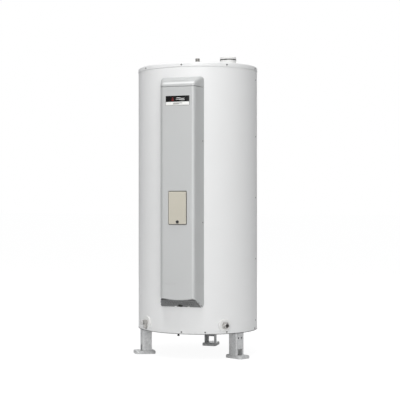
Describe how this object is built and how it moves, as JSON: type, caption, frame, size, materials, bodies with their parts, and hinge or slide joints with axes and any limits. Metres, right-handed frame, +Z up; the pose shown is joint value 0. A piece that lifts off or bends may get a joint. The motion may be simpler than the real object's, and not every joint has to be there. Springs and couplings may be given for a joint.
{
  "type": "tank water heater",
  "caption": "Upright cylindrical electric storage water heater on three channel legs, with a tall front cover, hinged control window, drain tap and relief valve.",
  "frame": {"origin": "on the tank's vertical axis at floor level, at the centre of the three anchor holes", "axes": "+Z up along the tank, -Y towards the front cover, +X to the right seen from the front"},
  "size_m": [0.707, 0.82, 1.742],
  "materials": {
    "white_enamel": "gloss enamel on sheet steel",
    "white_plastic": "semi-gloss",
    "galvanised_steel": "dull zinc",
    "zinc_screws": "zinc plated",
    "stainless_steel": "satin",
    "foam_insulation": "matt foam",
    "brass": "nickel washed, satin",
    "grey_enamel": "satin enamel",
    "dark_grey_plastic": "matt",
    "black_rubber": "matt",
    "badge_black": "gloss",
    "grey_plastic": "satin",
    "beige_plastic": "satin",
    "black_plastic": "satin",
    "breaker_white": "satin",
    "red_plastic": "satin",
    "amber_plastic": "satin",
    "slate_plastic": "satin",
    "circuit_board": "satin",
    "wire_covering": "satin"
  },
  "bodies": {
    "root": {"casing_front": "white_enamel", "casing_rear": "white_enamel", "top_cap": "white_enamel", "base_pan": "galvanised_steel", "cap_screws": "zinc_screws", "rim_screws": "zinc_screws", "seam_screws": "zinc_screws", "leg_front_left": "galvanised_steel", "leg_front_right": "galvanised_steel", "leg_rear": "galvanised_steel", "leg_bolts": "zinc_screws", "leg_nuts": "zinc_screws", "tank_shell": "stainless_steel", "tank_ring": "galvanised_steel", "insulation_top": "foam_insulation", "insulation_side": "foam_insulation", "insulation_base": "foam_insulation", "inlet_escutcheon": "white_plastic", "inlet_fitting": "brass", "inlet_pipe": "stainless_steel", "inlet_diffuser": "stainless_steel", "drain_escutcheon": "white_plastic", "drain_body": "brass", "drain_bonnet": "brass", "drain_pipe": "stainless_steel", "outlet_escutcheon": "white_plastic", "outlet_fitting": "brass", "relief_body": "brass", "relief_spring": "stainless_steel", "relief_turret": "white_plastic", "relief_gasket": "black_rubber", "overflow_pipe": "stainless_steel", "overflow_nozzle": "black_rubber", "cover_top": "grey_enamel", "cover_main": "grey_enamel", "cover_lower": "grey_enamel", "cover_chin": "dark_grey_plastic", "cover_brackets": "galvanised_steel", "cover_screws": "zinc_screws", "cable_grommet": "black_rubber", "badge_plate": "badge_black", "window_tray": "grey_plastic", "breaker_body": "black_plastic", "control_panel": "breaker_white", "control_box": "circuit_board", "heaters": "stainless_steel", "limit_thermostat": "black_plastic", "wiring_harness": "wire_covering"},
    "window_door": {"window_door": "beige_plastic"},
    "door_latch": {"door_latch": "black_plastic"},
    "breaker_lever": {"breaker_lever": "breaker_white"},
    "breaker_test_button": {"breaker_test_button": "red_plastic"},
    "boost_button": {"boost_button": "amber_plastic"},
    "mode_button": {"mode_button": "slate_plastic"},
    "drain_handle": {"drain_knob": "dark_grey_plastic", "drain_spindle": "brass"},
    "drain_jumper": {"drain_jumper": "brass"},
    "relief_stem": {"relief_stem": "stainless_steel"},
    "relief_lever": {"relief_lever": "stainless_steel"},
    "relief_lid": {"relief_lid": "white_plastic"}
  },
  "joints": [
    {"name": "window_door_hinge", "type": "hinge", "parent": "root", "child": "window_door", "pos_m": [0, -0.4275, 0.941], "axis": [-1, 0, 0], "range_deg": [0, 115]},
    {"name": "door_latch_turn", "type": "hinge", "parent": "window_door", "child": "door_latch", "pos_m": [0, -0.435, 0.7795], "axis": [0, -1, 0], "range_deg": [0, 90]},
    {"name": "breaker_toggle", "type": "hinge", "parent": "root", "child": "breaker_lever", "pos_m": [-0.024, -0.402, 0.864], "axis": [1, 0, 0], "range_deg": [0, 50]},
    {"name": "breaker_test_press", "type": "slide", "parent": "root", "child": "breaker_test_button", "axis": [0, 1, 0], "range_m": [0, 0.002], "stiffness_N_per_m": 300, "springref_m": -0.0015},
    {"name": "boost_press", "type": "slide", "parent": "root", "child": "boost_button", "axis": [0, 1, 0], "range_m": [0, 0.0015], "stiffness_N_per_m": 400, "springref_m": -0.001},
    {"name": "mode_press", "type": "slide", "parent": "root", "child": "mode_button", "axis": [0, 1, 0], "range_m": [0, 0.0015], "stiffness_N_per_m": 400, "springref_m": -0.001},
    {"name": "drain_turn", "type": "hinge", "parent": "root", "child": "drain_handle", "pos_m": [-0.22684, -0.26654, 0.1954], "axis": [-0.6481, -0.7615, 0], "range_deg": [0, 540]},
    {"name": "drain_lift", "type": "slide", "parent": "root", "child": "drain_jumper", "axis": [-0.6481, -0.7615, 0], "range_m": [0, 0.003]},
    {"name": "relief_lift", "type": "slide", "parent": "root", "child": "relief_stem", "axis": [0, 0, 1], "range_m": [0, 0.004], "deforming": ["relief_spring"]},
    {"name": "relief_lever_turn", "type": "hinge", "parent": "relief_stem", "child": "relief_lever", "pos_m": [0.185, 0, 1.701], "axis": [0, 1, 0], "range_deg": [0, 90]},
    {"name": "relief_lid_hinge", "type": "hinge", "parent": "root", "child": "relief_lid", "pos_m": [0.185, 0.0525, 1.73], "axis": [-1, 0, 0], "range_deg": [0, 105]}
  ],
  "couplings": [
    {"joint": "drain_lift", "follows": "drain_turn", "m_per_rad": 0.00031831},
    {"joint": "relief_lift", "follows": "relief_lever_turn", "m_per_rad": 0.002546}
  ]
}
